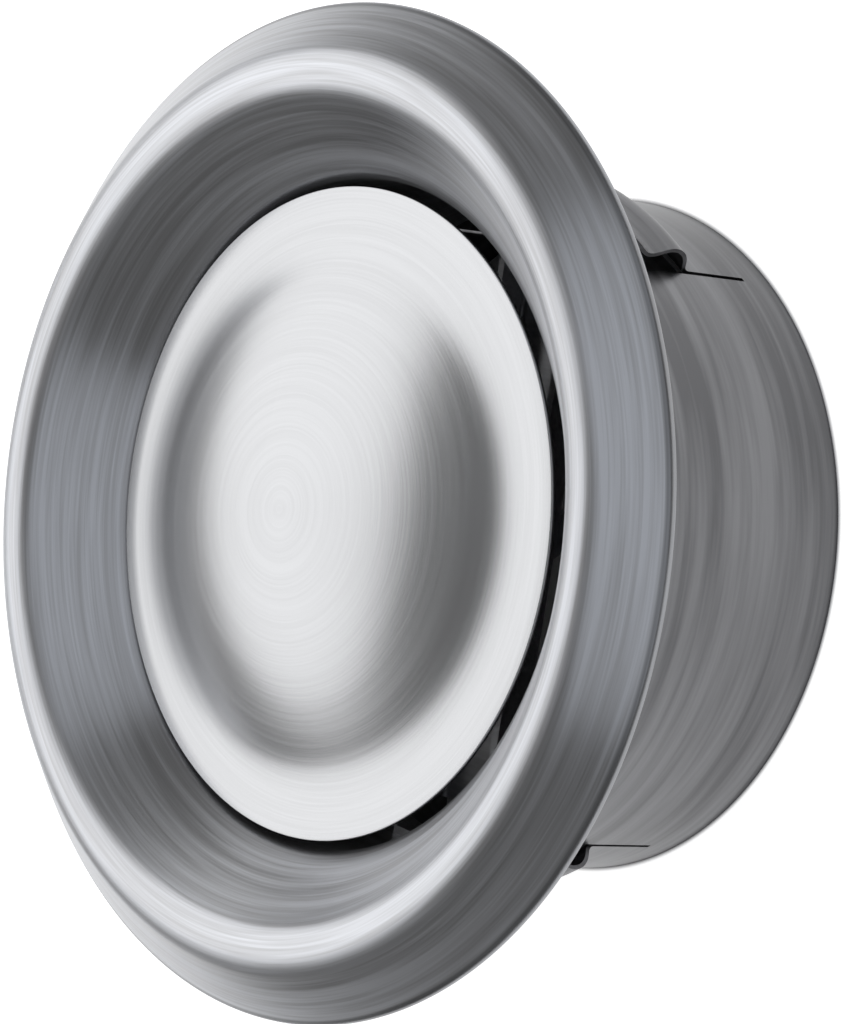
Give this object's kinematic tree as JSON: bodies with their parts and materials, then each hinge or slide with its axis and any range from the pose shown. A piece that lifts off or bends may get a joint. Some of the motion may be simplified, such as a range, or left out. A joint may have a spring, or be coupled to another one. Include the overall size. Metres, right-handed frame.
{
  "type": "disc valve",
  "caption": "Round disc valve for an air duct: spun ring with a bell mouth, domed disc on a screw spindle, and a mounting collar with spring clips.",
  "frame": {"origin": "centre of the collar's back rim, on the valve's axis", "axes": "+Z along the valve's axis towards the room, +Y along the bridge and through the middle of a spring clip"},
  "size_m": [0.1424, 0.1424, 0.0613],
  "materials": {
    "collar_steel": "rolled stainless sheet, brushed round the sleeve",
    "ring_steel": "spun stainless sheet, brushed round the axis",
    "disc_steel": "spun stainless sheet, finely brushed round the axis",
    "bridge_steel": "pressed stainless sheet, as rolled",
    "fixing_steel": "turned and zinc plated",
    "seal_foam": "closed-cell foam, matt"
  },
  "bodies": {
    "collar": {"mounting_collar": "collar_steel"},
    "valve": {"valve_ring": "ring_steel", "neck_seal": "seal_foam", "bridge": "bridge_steel", "snap_pins": "fixing_steel", "bridge_nut": "fixing_steel"},
    "spindle": {"spindle": "fixing_steel"},
    "disc": {"valve_disc": "disc_steel", "disc_hub": "fixing_steel"},
    "lock_nut": {"lock_nut": "fixing_steel"}
  },
  "joints": [
    {"name": "valve_pull", "type": "slide", "parent": "collar", "child": "valve", "axis": [0, 0, 1], "range_m": [0, 0.045]},
    {"name": "disc_travel", "type": "slide", "parent": "valve", "child": "spindle", "axis": [0, 0, 1], "range_m": [-0.004, 0.006]},
    {"name": "disc_turn", "type": "hinge", "parent": "spindle", "child": "disc", "pos_m": [0, 0, 0.05], "axis": [0, 0, 1], "range_deg": [-1440, 2160]},
    {"name": "lock_nut_turn", "type": "hinge", "parent": "valve", "child": "lock_nut", "pos_m": [0, 0, 0.0122], "axis": [0, 0, 1], "continuous": true}
  ],
  "couplings": [
    {"joint": "disc_travel", "follows": "disc_turn", "m_per_rad": 0.00015915}
  ]
}
